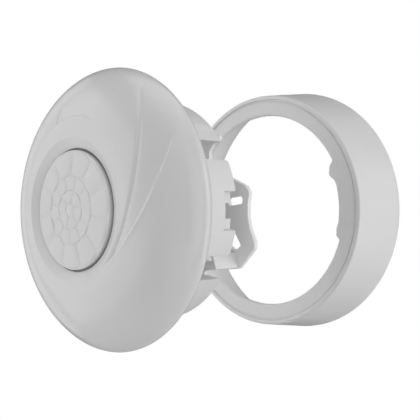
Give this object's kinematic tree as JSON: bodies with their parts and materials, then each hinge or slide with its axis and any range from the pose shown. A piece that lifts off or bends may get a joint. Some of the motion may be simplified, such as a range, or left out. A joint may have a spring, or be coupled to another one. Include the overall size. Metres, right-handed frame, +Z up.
{
  "type": "motion sensor",
  "caption": "Round white motion sensor pulled apart on its axis: domed head with segmented lens, slotted mounting plate and deep conical spacer ring.",
  "frame": {"origin": "middle of the mounting plate's flat back face, which lies on the wall or ceiling", "axes": "-Y is the way the sensor looks, +Y is into the wall or ceiling, +Z is up with the plate held on a wall"},
  "size_m": [0.1168, 0.1374, 0.1168],
  "materials": {
    "white_plastic": "satin moulded white plastic, very fine spark texture",
    "lens_plastic": "milky polyethylene, soft gloss, fine segment lines",
    "grey_plastic": "satin grey plastic",
    "black_plastic": "satin black plastic",
    "blue_plastic": "glossy blue plastic",
    "yellow_plastic": "glossy yellow plastic",
    "red_plastic": "tinted clear red",
    "dial_plastic": "satin off-white plastic",
    "clear_plastic": "clear",
    "filter_window": "dark polished infrared filter",
    "board": "green solder mask",
    "steel": "zinc plated",
    "nickel": "bright nickel plated",
    "brass": "plain brass"
  },
  "bodies": {
    "base": {"mounting_plate": "white_plastic"},
    "head": {"front_cover": "white_plastic", "fresnel_lens": "lens_plastic", "lens_retainer": "grey_plastic", "rear_housing": "white_plastic", "housing_screw_1": "steel", "housing_screw_2": "steel", "housing_screw_3": "steel", "housing_screw_4": "steel", "sensor_board": "board", "pir_detector": "nickel", "pir_filter": "filter_window", "light_sensor": "clear_plastic", "status_led": "red_plastic", "controller_chip": "black_plastic", "board_spacer_1": "black_plastic", "board_screw_1": "steel", "board_spacer_2": "black_plastic", "board_screw_2": "steel", "board_spacer_3": "black_plastic", "board_screw_3": "steel", "board_connector": "black_plastic", "power_board": "board", "relay": "blue_plastic", "film_capacitor": "yellow_plastic", "smoothing_capacitor": "black_plastic", "varistor": "blue_plastic", "fuse": "clear_plastic", "time_trimmer": "blue_plastic", "lux_trimmer": "blue_plastic", "range_trimmer": "blue_plastic", "terminal_block": "grey_plastic", "terminal_sleeve_1": "brass", "terminal_screw_1": "steel", "terminal_sleeve_2": "brass", "terminal_screw_2": "steel", "terminal_sleeve_3": "brass", "terminal_screw_3": "steel", "terminal_sleeve_4": "brass", "terminal_screw_4": "steel"},
    "ring": {"mounting_ring": "white_plastic"},
    "time_knob": {"time_dial": "dial_plastic"},
    "lux_knob": {"lux_dial": "dial_plastic"},
    "range_knob": {"range_dial": "dial_plastic"}
  },
  "joints": [
    {"name": "head_slide", "type": "slide", "parent": "base", "child": "head", "axis": [0, 1, 0], "range_m": [0, 0.0104]},
    {"name": "ring_slide", "type": "slide", "parent": "base", "child": "ring", "axis": [0, -1, 0], "range_m": [0, 0.0767]},
    {"name": "time_turn", "type": "hinge", "parent": "head", "child": "time_knob", "pos_m": [-0.014, -0.0209, 0.0155], "axis": [0, -1, 0], "range_deg": [-135, 135]},
    {"name": "lux_turn", "type": "hinge", "parent": "head", "child": "lux_knob", "pos_m": [0, -0.0209, 0.0155], "axis": [0, -1, 0], "range_deg": [-135, 135]},
    {"name": "range_turn", "type": "hinge", "parent": "head", "child": "range_knob", "pos_m": [0.014, -0.0209, 0.0155], "axis": [0, -1, 0], "range_deg": [-135, 135]}
  ]
}
